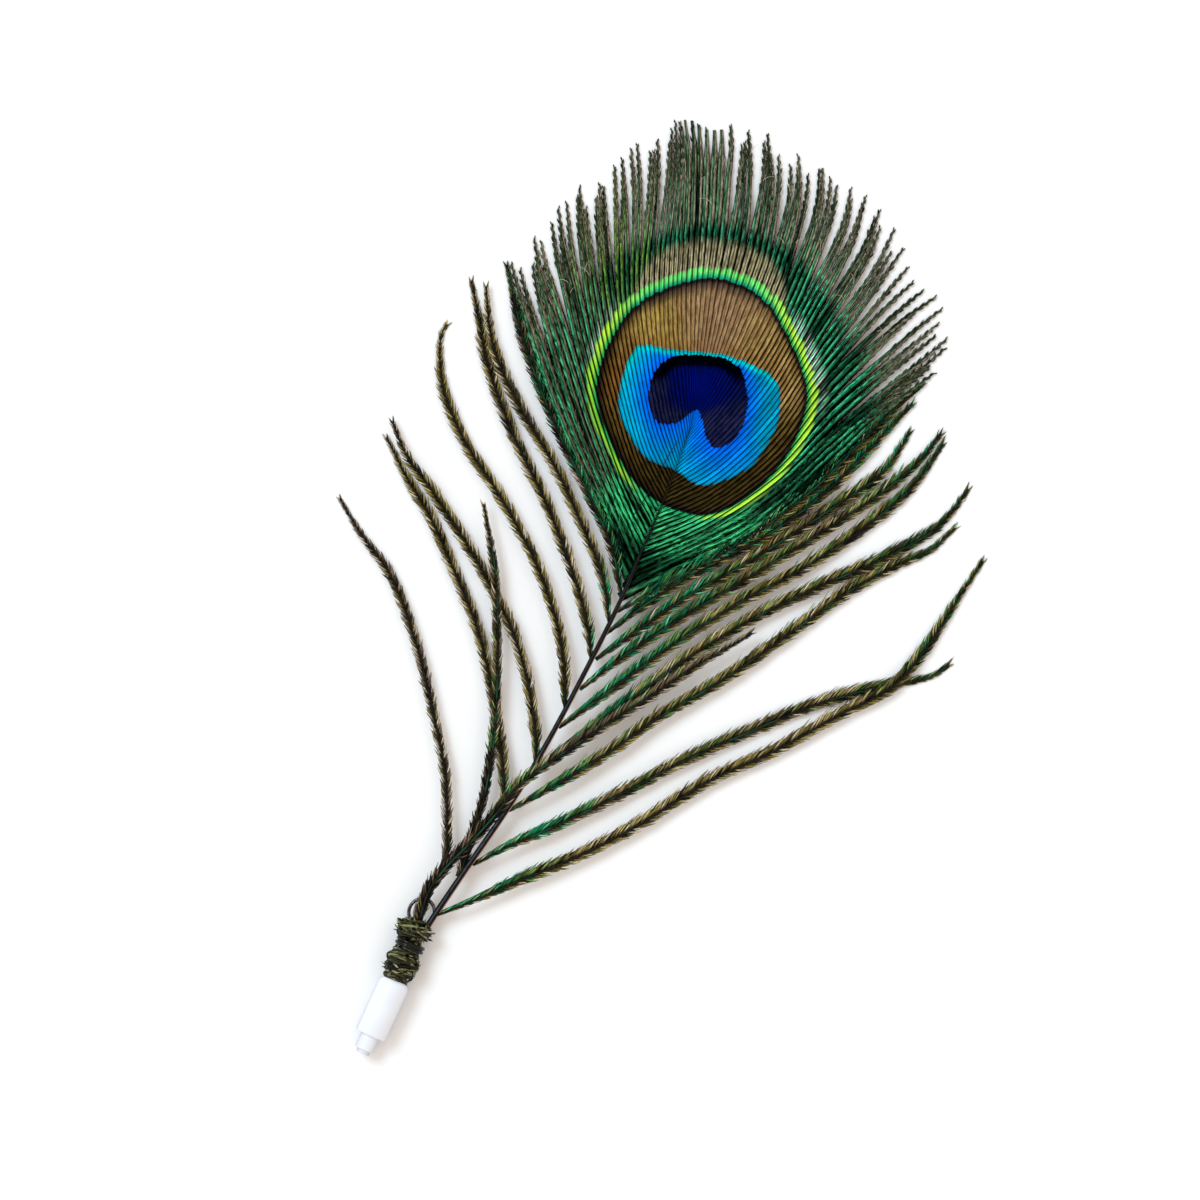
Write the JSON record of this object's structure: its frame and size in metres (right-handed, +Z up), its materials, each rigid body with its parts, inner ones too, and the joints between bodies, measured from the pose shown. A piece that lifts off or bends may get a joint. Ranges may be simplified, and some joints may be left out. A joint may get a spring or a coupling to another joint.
{
  "type": "peacock feather",
  "caption": "Trimmed peacock eye feather with loose side barbs, bound with barbs and wire to a small stepped plug, lying flat.",
  "frame": {"origin": "on the surface that the feather lies on, under the middle of its bounding box", "axes": "+Y along the plug's axis towards the feather's tip, +Z up from the surface, +X to the right seen from above"},
  "size_m": [0.1254, 0.2002, 0.0069],
  "materials": {
    "plug": "satin, cool white",
    "binding": "wound barbs, olive-dark, slightly glossy",
    "wire": "glossy black",
    "shaft": "charcoal horn, soft gloss",
    "vane": "iridescent emerald, bronze and blue eye",
    "barbs": "olive-gold barbules, green glints"
  },
  "bodies": {
    "root": {"plug": "plug", "binding": "binding", "wire_ring": "wire", "wire_band": "wire", "shaft": "shaft", "eye_vane": "vane", "left_barb_1": "barbs", "left_barb_2": "barbs", "left_barb_3": "barbs", "left_barb_4": "barbs", "left_barb_5": "barbs", "left_barb_6": "barbs", "left_barb_7": "barbs", "right_barb_1": "barbs", "right_barb_2": "barbs", "right_barb_3": "barbs", "right_barb_4": "barbs", "right_barb_5": "barbs", "right_barb_6": "barbs", "right_barb_7": "barbs", "crossing_barb": "barbs"}
  },
  "joints": []
}
